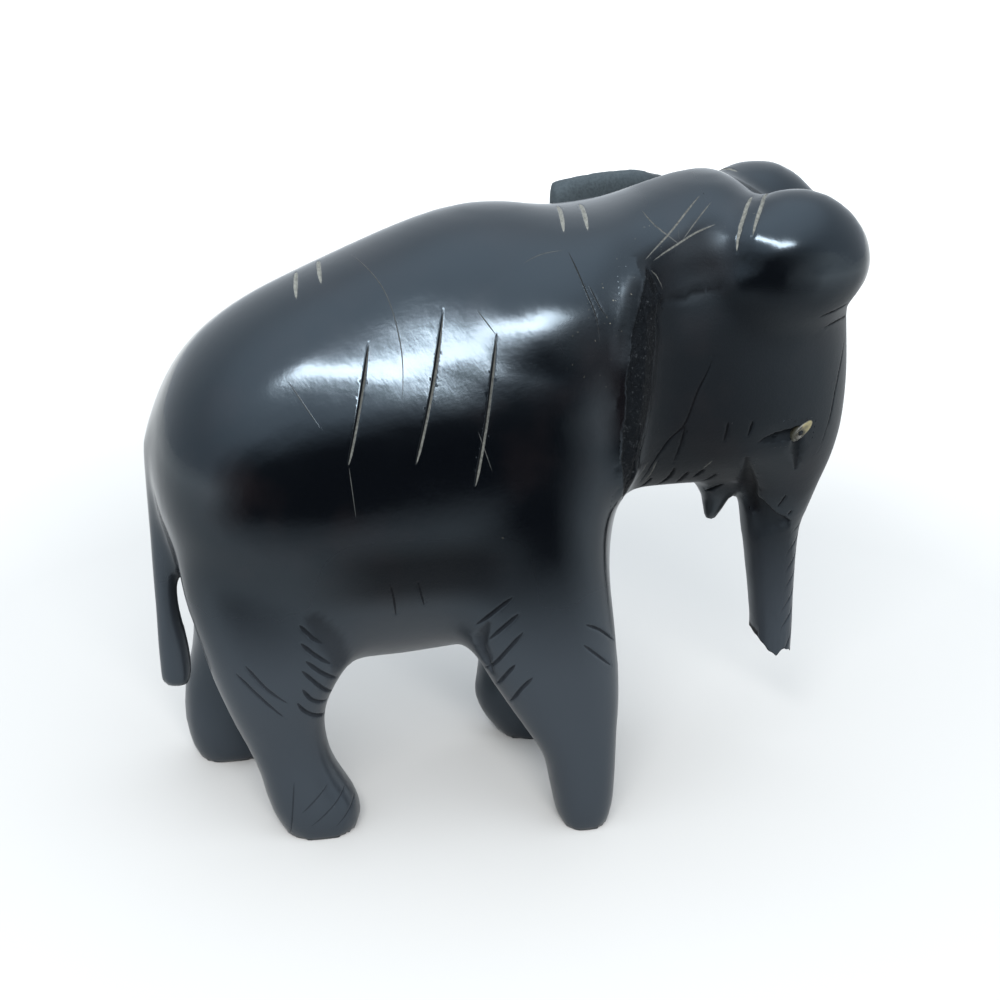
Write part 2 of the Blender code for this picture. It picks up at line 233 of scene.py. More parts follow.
def trueUp(obj):
    start = places(obj.data)
    normals = directions(obj.data)
    co = start.copy()
    for change in fullness:
        for side in both:
            rel = np.stack((start[:, 0], side * measure(start, "left"), start[:, 2]), axis=1)
            rel -= np.array(change["centre"])
            rel[:, 0] *= change["long"]
            share = 1 - ramp(np.linalg.norm(rel, axis=1), 0.15 * change["reach"], change["reach"])
            move = normals * change.get("out", 0.0) + np.array(change.get("step", (0, 0, 0)))
            co += share[:, None] * move
    co[:, 0] -= stumpThinned * zoneShare(start, **stumpFront)
    putPlaces(obj.data, co)


elephant = makeBlank()
smoothBlank(elephant)
trueUp(elephant)
print("blank", len(elephant.data.polygons), "faces")


# Carved strokes: each line of a group is one. A place of two numbers is along and up, seen from
# the side; three numbers are along, out and up.
carving = [
    dict(name="rumpTicks", sides=right, width=0.68, depth=0.28, dust=1.0, lines=[
        [(-27.8, -5.0, 78.2), (-27.7, 0.0, 79.3), (-28.2, 6.6, 77.5)],
        [(-24.7, -5.0, 79.8), (-24.7, 0.0, 80.5), (-24.9, 6.0, 79.1)]]),
    dict(name="neckTicks", sides=right, width=0.68, depth=0.28, dust=1.0, lines=[
        [(8.0, -5.0, 85.9), (8.0, 1.0, 86.6), (7.2, 8.0, 85.0)],
        [(11.1, -5.0, 86.0), (11.0, 1.0, 86.7), (10.4, 8.3, 85.1)]]),
    dict(name="headTicks", width=0.62, depth=0.26, dust=0.8, lines=[
        [(33.1, 6.9, 88.5), (31.1, 10.2, 86.1), (29.7, 12.2, 82.3)],
        [(35.4, 6.4, 88.9), (33.6, 9.9, 87.8), (31.6, 12.9, 84.2)]]),
    dict(name="flankCuts", width=0.62, depth=0.24, dust=(0.25, 0.6), fill=0.55,
         taper=(0.3, 0.1), long=True, lines=[
        [(-19.8, 73.2), (-21.5, 66.4), (-23.4, 58.2)], [(-9.8, 77.2), (-12.1, 67.6), (-14.6, 57.8)],
        [(-3.3, 74.3), (-4.9, 64.8), (-6.8, 54.2)]]),
    dict(name="neckCrack", sides=right, width=0.28, depth=0.07, dust=0.05, lines=[
        [(7.0, 10.6, 83.4), (8.5, 14.4, 79.0), (9.8, 15.8, 75.2), (10.2, 16.2, 71.5)],
        [(9.1, 14.1, 79.5), (10.5, 15.4, 76.5), (11.6, 15.5, 75.3)]]),
    dict(name="sweeps", kind="hair", sides=right, width=0.17, depth=0.02, dust=0.3, lines=[
        [(-20.6, 2.2, 82.1), (-17.1, 10.2, 79.2), (-15.8, 15.2, 72.5), (-16.0, 17.8, 65.3)],
        [(-5.7, 14.2, 77.0), (-3.4, 15.7, 73.9)], [(-30.2, 14.4, 68.8), (-26.6, 17.4, 63.1)],
        [(-23.4, 18.7, 58.4), (-22.6, 19.2, 50.7)],
        [(6.5, 10.4, 83.4), (3.5, 10.5, 82.9), (0.6, 11.3, 81.8)], [(-6.4, 18.6, 62.0), (-4.6, 19.0, 56.0)]]),
    dict(name="neckScratches", sides=right, width=0.32, depth=0.085, dust=0.5, lines=[
        [(26.1, 6.2, 89.2), (21.6, 9.1, 85.2), (16.9, 12.6, 81.9)],
        [(27.5, 9.4, 85.5), (23.6, 9.9, 84.2), (18.0, 12.1, 81.6)]]),
    dict(name="crossScratches", kind="hair", sides=right, width=0.24, depth=0.085, dust=0.4, lines=[
        [(27.5, 7.4, 88.3), (22.5, 10.0, 83.7)], [(18.0, 6.0, 87.3), (19.2, 8.6, 85.7), (22.4, 10.3, 83.2)]]),
    dict(name="bellyCuts", width=0.42, depth=0.3, lines=[
        [(-18.4, 40.8), (-17.8, 38.3), (-17.2, 34.5)], [(-14.6, 40.7), (-13.7, 37.8), (-13.3, 35.9)]]),
    dict(name="groinCuts", leftShift=-1.5, width=0.72, depth=0.5, lines=[
        [(-30.6, 35.0), (-28.8, 32.6), (-27.1, 31.4)], [(-30.4, 32.3), (-28.6, 30.2), (-26.1, 27.9)],
        [(-30.0, 29.5), (-27.8, 27.2), (-25.5, 25.0)], [(-30.6, 28.1), (-28.7, 25.8), (-26.0, 22.6)],
        [(-30.4, 25.2), (-29.1, 22.9), (-27.0, 21.5)], [(-31.3, 23.1), (-30.0, 21.0), (-27.3, 18.9)]]),
    dict(name="hipCuts", leftShift=-4.0, width=0.5, depth=0.36, lines=[
        [(-39.4, 28.2), (-35.9, 23.9), (-33.0, 20.6)], [(-38.1, 29.4), (-35.4, 25.8), (-32.3, 22.9)]]),
    dict(name="elbowCuts", width=0.68, depth=0.5, lines=[
        [(-1.8, 38.0), (-3.9, 36.2), (-6.6, 33.1)], [(-1.0, 35.6), (-3.1, 33.2), (-5.1, 30.9)],
        [(-0.2, 32.9), (-2.6, 29.7), (-5.0, 25.8)], [(-1.2, 27.6), (-2.6, 25.6), (-3.6, 23.4)],
        [(1.0, 25.7), (-0.6, 23.6), (-1.8, 20.9)]]),
    dict(name="kneeCuts", width=0.52, depth=0.36, lines=[
        [(8.3, 32.9), (10.8, 31.3), (13.2, 28.7)], [(8.0, 29.9), (10.2, 27.9), (12.8, 25.4)]]),
    dict(name="toeLines", leftShift=-11.0, width=0.32, depth=0.12, lines=[
        [(-27.3, 8.8), (-31.5, 4.7)], [(-24.9, 7.0), (-30.5, 2.4)], [(-23.5, 5.1), (-26.8, 2.0)],
        [(-32.1, 10.1), (-33.0, 0.6)]]),
    dict(name="jawCuts", width=0.6, depth=0.42, lines=[
        [(20.0, 9.1, 50.0), (18.7, 6.7, 47.7)], [(23.0, 9.8, 51.6), (22.6, 8.3, 49.5), (21.5, 6.0, 47.5)],
        [(25.3, 8.9, 50.5), (24.8, 7.7, 49.2), (24.5, 5.9, 47.5)],
        [(27.5, 9.2, 50.7), (26.8, 7.9, 49.4), (26.4, 7.5, 48.9)],
        [(29.7, 8.0, 49.5), (29.1, 6.4, 48.0), (28.1, 5.8, 47.6)],
        [(32.1, 4.6, 46.5), (31.1, 3.9, 45.7), (29.9, 2.4, 44.5)]]),
    dict(name="jawScratches", sides=right, width=0.28, depth=0.08, dust=0.3, lines=[
        [(20.0, 11.0, 53.1), (18.7, 7.9, 48.5)], [(18.6, 11.7, 53.5), (16.4, 10.0, 49.7)],
        [(28.2, 10.6, 52.4), (27.2, 9.2, 50.7)]]),
    dict(name="cheekCrease", width=0.45, depth=0.25, lines=[
        [(27.0, 68.9), (26.2, 66.7), (24.7, 63.3), (23.4, 58.7), (21.3, 56.3), (18.9, 51.9), (17.8, 48.5)],
        [(23.4, 58.7), (23.0, 54.8), (22.6, 52.0)]]),
    dict(name="cheekNicks", width=0.5, depth=0.3, lines=[
        [(29.5, 58.9), (29.3, 55.5)], [(33.0, 58.7), (32.7, 56.2)]]),
    dict(name="browCuts", width=0.45, depth=0.25, lines=[
        [(45.8, 74.6), (41.2, 73.4)], [(47.2, 71.7), (45.0, 71.6), (42.1, 71.1)]]),
    dict(name="faceLine", width=0.32, depth=0.12, lines=[
        [(47.7, 69.7), (45.9, 62.2), (45.2, 57.2), (44.0, 52.0)]]),
    dict(name="sheathNicks", width=0.34, depth=0.25, lines=[
        [(40.6, 7.3, 45.1), (39.6, 6.3, 42.6)], [(42.0, 6.3, 42.1), (41.5, 6.1, 41.1)]]),
    dict(name="stumpSpall", kind="hair", sides=right, width=0.26, depth=0.05, dust=0.4, lines=[
        [(18.4, 13.6, 81.3), (19.2, 13.0, 79.9), (19.9, 12.6, 78.2)]]),
]
usual = {"kind": "cut", "fill": 1.0, "taper": (0.2, 0.35), "dust": 0.0}   # where a group says no other
hand = {
    "seed": 7, "wavers": 0.12, "step": 0.5,
    "tipWidth": 0.15, "tipDepth": 0.25, "tipBlunt": 0.6,    # what is left of a stroke at its tips
    "slope": 0.95,      # share of half its width that slopes down
    "reach": 2.8, "shownBeyond": {"cut": 0.12, "hair": 1.4},
}
layerNames = [kind + name for kind in ("cut", "hair") for name in ("Gap", "Half", "Fill", "Dust")]
hollows = [     # scooped places; width and depth change along each one, and the darker sheen in each is painted shade
    dict(name="mouthWedge", widths=(0.8, 2.2, 3.4, 3.6), depths=(0.3, 0.8, 1.0, 0.7), dull=0.9, sharp=True,
         line=[(33.0, 11.0, 52.5), (34.5, 7.6, 48.6), (36.1, 4.2, 44.6), (36.6, 3.6, 42.0)]),
    dict(name="underEye", widths=(2.3, 1.6, 0.5), depths=(0.55, 0.4, 0.15), dull=0.8, sharp=True,
         line=[(40.2, 11.5, 54.7), (40.5, 10.3, 52.4), (40.9, 9.2, 49.9)]),
    dict(name="groinFold", widths=(3.2, 4.6, 3.8), depths=(0.15, 0.4, 0.3), dull=0.7,
         line=[(-28.4, 16.3, 35.4), (-26.0, 15.3, 31.1), (-24.8, 13.7, 27.9)]),
    dict(name="armPit", widths=(1.0, 2.4, 1.8, 0.8), depths=(0.3, 0.7, 0.6, 0.2), dull=0.7,
         line=[(-5.0, 18.0, 33.6), (-5.8, 16.6, 30.2), (-5.0, 16.7, 27.6), (-4.2, 16.6, 25.6)]),
    dict(name="templeCrease", widths=(1.4, 1.2, 0.8), depths=(0.35, 0.28, 0.1), dull=0.95,
         line=[(19.7, 12.9, 76.4), (23.2, 12.1, 76.9), (25.7, 12.1, 77.6), (27.9, 12.6, 78.2)]),
]
sheathEdge = {      # the wood steps in just below this line and comes back up further down; below it the trunk's sheen is darkened as painted shade under the cheek
    "line": [(36.5, 44.6), (37.8, 43.8), (39.7, 41.8), (41.0, 41.1), (42.1, 40.2), (42.5, 38.6)],
    "depth": 0.75, "below": (-0.05, 0.3, 0.3, 9.0), "along": (0.0, 0.05, 0.75, 1.0),
    "dull": 0.58, "dullBelow": (-0.05, 0.1, 9.0, 22.0), "dullFrom": 30.0,
}
templePad = {       # flat pad of the temple, with an edge where it meets the top of the head
    "line": [(15.9, 81.4), (17.4, 81.7), (19.5, 82.0), (21.9, 83.0), (24.7, 84.6), (27.0, 85.5),
             (30.0, 86.2)],
    "step": 0.07, "stepBelow": (-0.3, 0.8), "deep": 0.42, "deepBelow": (0.3, 5.2),
    "fade": (13.0, 5.2), "along": (0.05, 0.25, 0.3, 1.0),
    "dull": 0.72, "dullBelow": (-2.5, -0.3, 8.0, 14.0), "dullAlong": (1.0, 0.65),
}
trunkNicks = {"count": 13, "top": 58.0, "bottom": 21.5, "drops": (1.6, 3.4),
              "cut": dict(width=0.36, depth=0.24)}
eyeCut = {          # the almond that is cut away round an eye; its sheen is darkened as painted shade in the recess
    "upper": [(34.0, 55.0), (35.3, 55.9), (36.9, 56.5), (39.4, 57.0)],
    "lower": [(34.0, 55.0), (36.8, 54.7), (39.4, 55.0)],
    "depth": 0.7, "dull": 0.9, "cheek": dict(out=(9.0, 16.0), along=(33.5, 40.2)),
}
stump = {           # broken face of the right ear: up, then along at its rear and front edge
    "up": (48.6, 50.4, 55.7, 57.0, 60.7, 66.3, 70.1, 72.7, 77.2, 78.0, 78.9, 81.7),
    "rear": (14.5, 14.0, 13.3, 13.4, 13.5, 13.7, 13.9, 14.2, 15.3, 15.6, 16.0, 17.1),
    "front": (14.9, 15.6, 16.6, 17.0, 17.7, 18.0, 18.3, 18.4, 18.2, 19.4, 19.0, 17.2),
    "low": 48.8, "high": 81.6, "out": 13.0, "depth": 0.75, "rim": 0.6,
    "edgeWaves": [(0.3, (0.25, 0.25, 0.25), 4.0), (0.12, (1.6, 1.6, 1.6), 6.0)],
    "faceWaves": [(0.35, (0.6, 0.6, 0.22), 5.0), (0.2, (1.9, 1.6, 0.6), 2.0), (0.12, (4.2, 4.2, 1.4), 8.0)],
    "faceLevel": 0.6,
}
trunkBreak = {      # broken end of the trunk: along, and how low the wood reaches there
    "along": (38.8, 39.4, 40.2, 40.9, 41.5, 41.9, 42.4, 43.1, 43.7, 44.2, 44.6, 44.9, 45.4),
    "up": (20.8, 19.9, 18.9, 18.1, 17.7, 17.4, 18.0, 18.5, 18.1, 18.0, 17.2, 17.8, 19.0),
    "stretch": 3.6, "stretchBelow": 22.8, "end": dict(along=(36.0, far), up=(10.0, 22.0)),
    "grit": [(0.25, (1.3, 1.0, 0.2), 3.0)],
}
fineBoxes = {       # where the skin is as fine as along the strokes
    "brokenEar": dict(along=(12.3, 20.3), right=(12.5, far), up=(47.8, 82.6)),
    "brokenTrunk": dict(along=(37, far), up=(10, 22)),
    "eyes": dict(along=(33.2, 43.2), up=(53.8, 58.9), out=(8, 16)),
}
handWaves = [(0.05, (0.11, 0.11, 0.11), 0.0), (0.008, (0.35, 0.35, 0.3), 9.0)]     # height, scale, seed
dusty = [           # where crumbs and specks of dust lie: line, reach, how thick
    dict(line=[(11.9, 77.2), (14.0, 78.8), (15.6, 80.2)], reach=1.5, amount=1.0),
    dict(line=[(12.6, 79.0), (12.0, 75.5)], reach=2.4, amount=0.45),
    dict(line=[(8.0, 70.0), (11.0, 74.0), (14.0, 80.0), (20.0, 84.0)], reach=6.0, amount=0.14),
    dict(line=[(24.0, 84.0), (31.0, 83.0)], reach=4.0, amount=0.14),
]
sheenLoss = {         # where the sheen is darkened: how much, and where; on the lower right flank it is painted shade under the belly
    "trunk": (0.2, dict(along=(30, 34), up=(46, 40))),
    "bellyShade": (0.88, dict(along=(-32, -18, -6, 4), up=(35, 40, 43, 49), right=(8, 12))),
}
headSide = {"zone": dict(along=(15, 19), out=(3, 7), up=(40, 46, 75, 80)),
            "dull": 0.78, "lessInFront": 0.36, "front": (27.0, 40.0)}
neckDust = {"line": [(7.0, 73.0), (11.5, 75.5), (15.5, 81.0)], "reach": 5.5, "full": 0.2, "dull": 0.3}
besideStump = {"dull": 0.8, "from": 3.4, "to": 1.0, "up": (66.0, 73.0, 79.0, 82.5)}
outside = 4.0       # dust and dullness of the right side start this far out
finish = {          # parts of the figure with a look of their own
    # a lighter grey low on the legs and at the rear end
    "palerLegs": dict(up=(44, 24)), "palerRump": dict(along=(-44, -50)),
    "palerBelow": dict(up=(60, 40)),
    "matteLegs": dict(up=(44, 33)), "matteHead": dict(along=(17, 20)),
    "glossyBrow": dict(up=(74, 79), along=(24, 30)),
    "sawnEar": dict(left=(12, 13.5), along=(8, 9, 25, 29), up=(62, 66)),
}
lookFrom = {"side": 60.0, "front": 90.0, "underLeftEar": 16.5, "earRear": 9.0}   # where a ray starts


def surfaceTree(mesh):
    co = [Vector(v) for v in places(mesh)]
    return BVHTree.FromPolygons(co, [tuple(p.vertices) for p in mesh.polygons])


def layOn(tree, side, place, shift=0.0):
    if len(place) == 2:
        start = lookFrom["underLeftEar"] if side > 0 and place[0] > lookFrom["earRear"] else lookFrom["side"]
        origin = Vector((place[0] + shift, middle + side * start, place[1]))
        return tree.ray_cast(origin, Vector((0, -side, 0)))[0]
    return tree.find_nearest(Vector((place[0] + shift, middle + side * place[1], place[2])))[0]


def curveThrough(keys):
    keys = np.array(keys, float)
    line = [keys[0]]
    for i in range(len(keys) - 1):
        before, a, b, after = keys[max(i - 1, 0)], keys[i], keys[i + 1], keys[min(i + 2, len(keys) - 1)]
        count = max(2, math.ceil(np.linalg.norm(b - a) / hand["step"]))
        for k in range(1, count + 1):
            t = k / count
            line.append(0.5 * (2 * a + (b - before) * t + (2 * before - 5 * a + 4 * b - after) * t * t
                               + (3 * a - before - 3 * b + after) * t ** 3))
    return line


def allStrokes(tree):
    rng = random.Random(hand["seed"])
    strokes = []

    def lay(keys, side, shift, group):
        path = [layOn(tree, side, place, shift) for place in curveThrough(keys)]
        least = -1.0 if len(keys[0]) == 3 else 1.0      # seen from the side, it stays on its own side
        path = [p for p in path if p and side * (p.y - middle) > least]
        if len(path) > 1:
            strokes.append({**usual, **group, "path": np.array(path)})

    for group in carving:
        for side in group.get("sides", both):
            shift = group.get("leftShift", 0.0) if side > 0 else 0.0
            for line in group["lines"]:
                keys = [[c + rng.uniform(-hand["wavers"], hand["wavers"]) for c in place] for place in line]
                lay(keys, side, shift, group)
    for up in np.linspace(trunkNicks["top"], trunkNicks["bottom"], trunkNicks["count"]):
        front = tree.ray_cast(Vector((lookFrom["front"], middle, up)), Vector((-1, 0, 0)))[0].x
        for side in both:       # each wraps round the front of the trunk
            drop = rng.uniform(*trunkNicks["drops"])
            keys = [(front + 0.5, 0.0, up + 0.9), (front - 0.3, 2.6, up + 0.2),
                    (front - 1.0 - drop * 0.6, 5.0, up - drop)]
            lay(keys, side, 0.0, trunkNicks["cut"])
    return strokes


def nearPath(co, path, reach):
    # places within reach of the path: their numbers, the gap, the share of its length, offset and heading
    found = np.nonzero(np.all((co > path.min(0) - reach) & (co < path.max(0) + reach), axis=1))[0]
    best = np.full(len(found), np.inf)
    along = np.zeros(len(found))
    offset = np.zeros((len(found), 3))
    heading = np.zeros((len(found), 3))
    lengths = np.linalg.norm(np.diff(path, axis=0), axis=1)
    starts = np.concatenate([[0], np.cumsum(lengths)])
    for i, length in enumerate(lengths):
        direction = (path[i + 1] - path[i]) / max(length, 1e-9)
        rel = co[found] - path[i]
        t = np.clip(rel @ direction, 0, length)
        off = rel - t[:, None] * direction
        gap = np.linalg.norm(off, axis=1)
        closer = gap < best
        best[closer] = gap[closer]
        offset[closer] = off[closer]
        heading[closer] = direction
        along[closer] = (starts[i] + t[closer]) / starts[-1]
    keep = best < reach
    return found[keep], best[keep], along[keep], offset[keep], heading[keep]


def sideDistance(co, line):
    # how far below a line seen from the side, and what share of the way along it
    flat = co[:, [0, 2]]
    best = np.full(len(co), np.inf)
    signed = np.zeros(len(co))
    along = np.zeros(len(co))
    count = len(line) - 1
    for i in range(count):
        a, b = np.array(line[i]), np.array(line[i + 1])
        step = b - a
        t = np.clip((flat - a) @ step / (step @ step), 0, 1)
        rel = flat - a - t[:, None] * step
        gap = np.linalg.norm(rel, axis=1)
        closer = gap < best
        best[closer] = gap[closer]
        below = rel @ np.array((step[1], -step[0])) > 0
        signed[closer] = np.where(below, gap, -gap)[closer]
        along[closer] = ((i + t) / count)[closer]
    return signed, along


def noiseAt(co, waves):
    total = np.zeros(len(co))
    for height, (a, b, c), seed in waves:
        total += [height * noise.noise(Vector((p[0] * a + seed, p[1] * b, p[2] * c))) for p in co]
    return total


def alongHollow(co, tree, hollow, side):
    path = np.array([layOn(tree, side, place) for place in curveThrough(hollow["line"])])
    return nearPath(co, path, max(hollow["widths"]) / 2)[:3]


def finePlaces(co, normals, tree, strokes, margin):
    near = np.zeros(len(co), bool)
    for stroke in strokes:
        if stroke["kind"] == "cut":
            near[nearPath(co, stroke["path"], stroke["width"] / 2 + margin)[0]] = True
    for hollow in hollows:
        for side in both:
            if hollow.get("sharp"):
                near[alongHollow(co, tree, hollow, side)[0]] = True
    for box in fineBoxes.values():
        near |= within(co, **box)
    faces = within(co, out=(3.0, 17.0)) & (np.abs(normals[:, 1]) > 0.2)
    for edge in (sheathEdge, templePad):
        signed, along = sideDistance(co, edge["line"])
        near |= (np.abs(signed) < 0.3 + margin) & (along > 0) & (along < 1) & faces
    return near


def longPlaces(co, strokes):
    near = np.zeros(len(co), bool)
    for stroke in strokes:
        if stroke.get("long"):
            near[nearPath(co, stroke["path"], stroke["width"] / 2 + wood["longCutMargin"])[0]] = True
    return near


def refine(obj, near):
    bm = bmesh.new()
    bm.from_mesh(obj.data)
    edges = [e for e in bm.edges if near[e.verts[0].index] and near[e.verts[1].index]]
    bmesh.ops.subdivide_edges(bm, edges=edges, cuts=1, use_grid_fill=True, smooth=1.0)
    obj.data = meshFrom(bm, obj.name)


def patchShare(co, start, patch):
    # 1 along the patch's line on the right side, and 0 past its reach
    gap = np.abs(sideDistance(co, patch["line"])[0])
    share = ramp(gap, patch["reach"], patch.get("full", 0.3) * patch["reach"])
    return share * (measure(start, "right") > outside)


def sheenLossShare(start):
    lessInFront = headSide["lessInFront"] * ramp(start[:, 0], *headSide["front"])
    dull = zoneShare(start, **headSide["zone"]) * (headSide["dull"] - lessInFront)
    for amount, zone in sheenLoss.values():
        dull = np.maximum(dull, amount * zoneShare(start, **zone))
    return dull


def cutFace(co, normals, start, sink, dull):
    signed, along = sideDistance(co, sheathEdge["line"])
    facing = ramp(np.abs(normals[:, 1]), 0.2, 0.6) * ramp(measure(start, "out"), 2.0, 4.0)
    facing *= measure(start, "out") < 17.0
    step = band(signed, *sheathEdge["below"]) * band(along, *sheathEdge["along"])
    np.maximum(sink, sheathEdge["depth"] * step * facing, out=sink)
    # painted shade: the sheen below the sheath edge is darkened, under the overhanging cheek
    dulling = band(signed, *sheathEdge["dullBelow"]) * (start[:, 0] > sheathEdge["dullFrom"])
    np.maximum(dull, sheathEdge["dull"] * dulling * facing, out=dull)

    upper = sideDistance(co, eyeCut["upper"])[0]
    lower = -sideDistance(co, eyeCut["lower"])[0]
    cheek = within(start, **eyeCut["cheek"])
    np.maximum(sink, eyeCut["depth"] * ramp(upper, 0.0, 0.2) * np.clip(lower, 0, 1) * cheek, out=sink)
    # painted shade: the sheen in the eye's recess is darkened
    np.maximum(dull, eyeCut["dull"] * ramp(np.minimum(upper, lower), -0.05, 0.1) * cheek, out=dull)


def scoopHollows(co, tree, sink, dull):
    for hollow in hollows:
        for side in both:
            found, gap, along = alongHollow(co, tree, hollow, side)
            keys = np.linspace(0, 1, len(hollow["widths"]))
            half = np.interp(along, keys, hollow["widths"]) / 2
            bowl = np.clip(1 - (gap / half) ** 2, 0, 1)
            deep = np.interp(along, keys, hollow["depths"]) * bowl ** 1.5
            sink[found] = np.maximum(sink[found], deep)
            # painted shade: the sheen in the hollow is darkened
            dull[found] = np.maximum(dull[found], hollow["dull"] * ramp(bowl, 0.0, 0.9))


def cutStrokes(co, normals, strokes, sink):
    # sinks each stroke, and keeps what the material needs to know of the nearest one of each kind
    layers = {name: np.zeros(len(co)) for name in layerNames}
    nearest = {}
    for kind in ("cut", "hair"):
        layers[kind + "Gap"] += 1.0
        nearest[kind] = np.full(len(co), np.inf)
    for stroke in strokes:
        kind, width = stroke["kind"], stroke["width"] / 2
        found, gap, along, offset, heading = nearPath(co, stroke["path"], width + hand["reach"])
        tip = np.clip(np.minimum(along / stroke["taper"][0], (1 - along) / stroke["taper"][1]), 0, 1)
        half = width * (hand["tipWidth"] + (1 - hand["tipWidth"]) * tip ** hand["tipBlunt"])
        deep = hand["tipDepth"] + (1 - hand["tipDepth"]) * tip
        sink[found] += stroke["depth"] * (1 - ramp(gap, 0.0, hand["slope"] * half)) * deep
        side = np.sign(np.einsum("ij,ij->i", np.cross(normals[found], heading), offset))
        closest = gap < nearest[kind][found]
        at = found[closest]
        nearest[kind][at] = gap[closest]
        shown = half * ramp(tip, 0.0, 0.25) * (gap < width + hand["shownBeyond"][kind])
        dust = np.interp(along, (0, 1), np.broadcast_to(stroke["dust"], 2))
        known = {"Gap": side * gap, "Half": shown, "Fill": shown * stroke["fill"], "Dust": dust}
        for name, value in known.items():
            layers[kind + name][at] = value[closest]
    return layers


def breakEar(co, normals, start, sink, dull):
    # returns how far each place is inside the edge of the broken face
    along, up, rim = start[:, 0], start[:, 2], stump["rim"]
    rear = np.interp(up, stump["up"], stump["rear"])
    front = np.interp(up, stump["up"], stump["front"])
    inside = np.minimum(along - rear + noiseAt(co, stump["edgeWaves"]), front - along)
    inside = np.minimum(inside, np.minimum(up - stump["low"], stump["high"] - up))
    onFace = (measure(start, "right") > stump["out"]) & (-normals[:, 1] > 0.15)
    inside = np.where(onFace, np.clip(inside, -rim, rim), -rim)
    torn = np.clip(stump["faceLevel"] + noiseAt(co, stump["faceWaves"]), 0, 1.2)
    sink += stump["depth"] * ramp(inside, 0.0, 0.5) * torn

    beside = ramp(along, rear - besideStump["from"], rear - besideStump["to"]) * (along < rear + 0.5)
    beside *= zoneShare(start, up=besideStump["up"]) * (measure(start, "right") > outside)
    np.maximum(dull, besideStump["dull"] * beside, out=dull)
    return inside


def cutTemple(co, start, sink, dull):
    signed, along = sideDistance(co, templePad["line"])
    here = zoneShare(start, out=(7.0, 10.0)) * within(start, out=(0.0, 17.5), up=(66.0, far))
    pad = templePad["step"] * ramp(signed, *templePad["stepBelow"])
    pad += templePad["deep"] * ramp(signed, *templePad["deepBelow"])
    sink += pad * ramp(signed, *templePad["fade"]) * band(along, *templePad["along"]) * here
    dulling = band(signed, *templePad["dullBelow"]) * ramp(along, *templePad["dullAlong"]) * (along > 0)
    np.maximum(dull, templePad["dull"] * dulling * here, out=dull)


def carve(obj, tree, strokes):
    mesh = obj.data
    start = places(mesh)
    normals = directions(mesh)
    up = start[:, 2]
    co = start + normals * (noiseAt(start, handWaves) * ramp(up, 0.4, 2.5))[:, None]
    sink = np.zeros(len(co))
    dull = sheenLossShare(start)
    cutFace(co, normals, start, sink, dull)
    scoopHollows(co, tree, sink, dull)
    layers = cutStrokes(co, normals, strokes, sink)
    np.maximum(dull, neckDust["dull"] * patchShare(co, start, neckDust), out=dull)
    inside = breakEar(co, normals, start, sink, dull)
    cutTemple(co, start, sink, dull)
    crumbs = np.max([patch["amount"] * patchShare(co, start, patch) for patch in dusty], axis=0)

    end = np.interp(start[:, 0], trunkBreak["along"], trunkBreak["up"]) + noiseAt(co, trunkBreak["grit"])
    co -= normals * sink[:, None]
    dropped = co[:, 2] - trunkBreak["stretch"] * ramp(trunkBreak["stretchBelow"] - up, 0.0, 4.0)
    onEnd = within(start, **trunkBreak["end"])
    co[:, 2] = np.where(onEnd, np.maximum(dropped, end), co[:, 2])
    putPlaces(mesh, co)

    share = {name: zoneShare(start, **zone) for name, zone in finish.items()}
    matteHead = share["matteHead"] * (1 - share["glossyBrow"])
    layers.update(
        dull=dull,
        crumbs=crumbs * (inside < -0.3),
        broken=np.maximum(inside, np.where(onEnd & (dropped < end + 0.02), stump["rim"], -stump["rim"])),
        faded=np.maximum(share["palerLegs"], share["palerRump"]) * share["palerBelow"],
        matte=np.maximum(share["matteLegs"], matteHead),
        sawn=share["sawnEar"] * ramp(normals[:, 1], 0.6, 0.1))
    for name, values in layers.items():
        mesh.attributes.new(name, "FLOAT", "POINT").data.foreach_set("value", values)
    mesh.shade_smooth()
    mesh.update()


tree = surfaceTree(elephant.data)
strokes = allStrokes(tree)
for margin in wood["margins"]:
    co, normals = places(elephant.data), directions(elephant.data)
    refine(elephant, finePlaces(co, normals, tree, strokes, margin))
refine(elephant, longPlaces(places(elephant.data), strokes))
tree = surfaceTree(elephant.data)
carve(elephant, tree, allStrokes(tree))
triangles = sum(len(p.vertices) - 2 for p in elephant.data.polygons)
print("carved", len(strokes), "strokes,", triangles, "triangles")


# Each eye is an oval of bone with a drilled pupil.
inlay = {"long": 3.9, "wide": 1.8, "deep": 1.2, "crown": 0.1,
         "pupilLong": 1.55, "pupilWide": 1.0, "pupilBack": 0.72, "pupilDeep": 0.22}


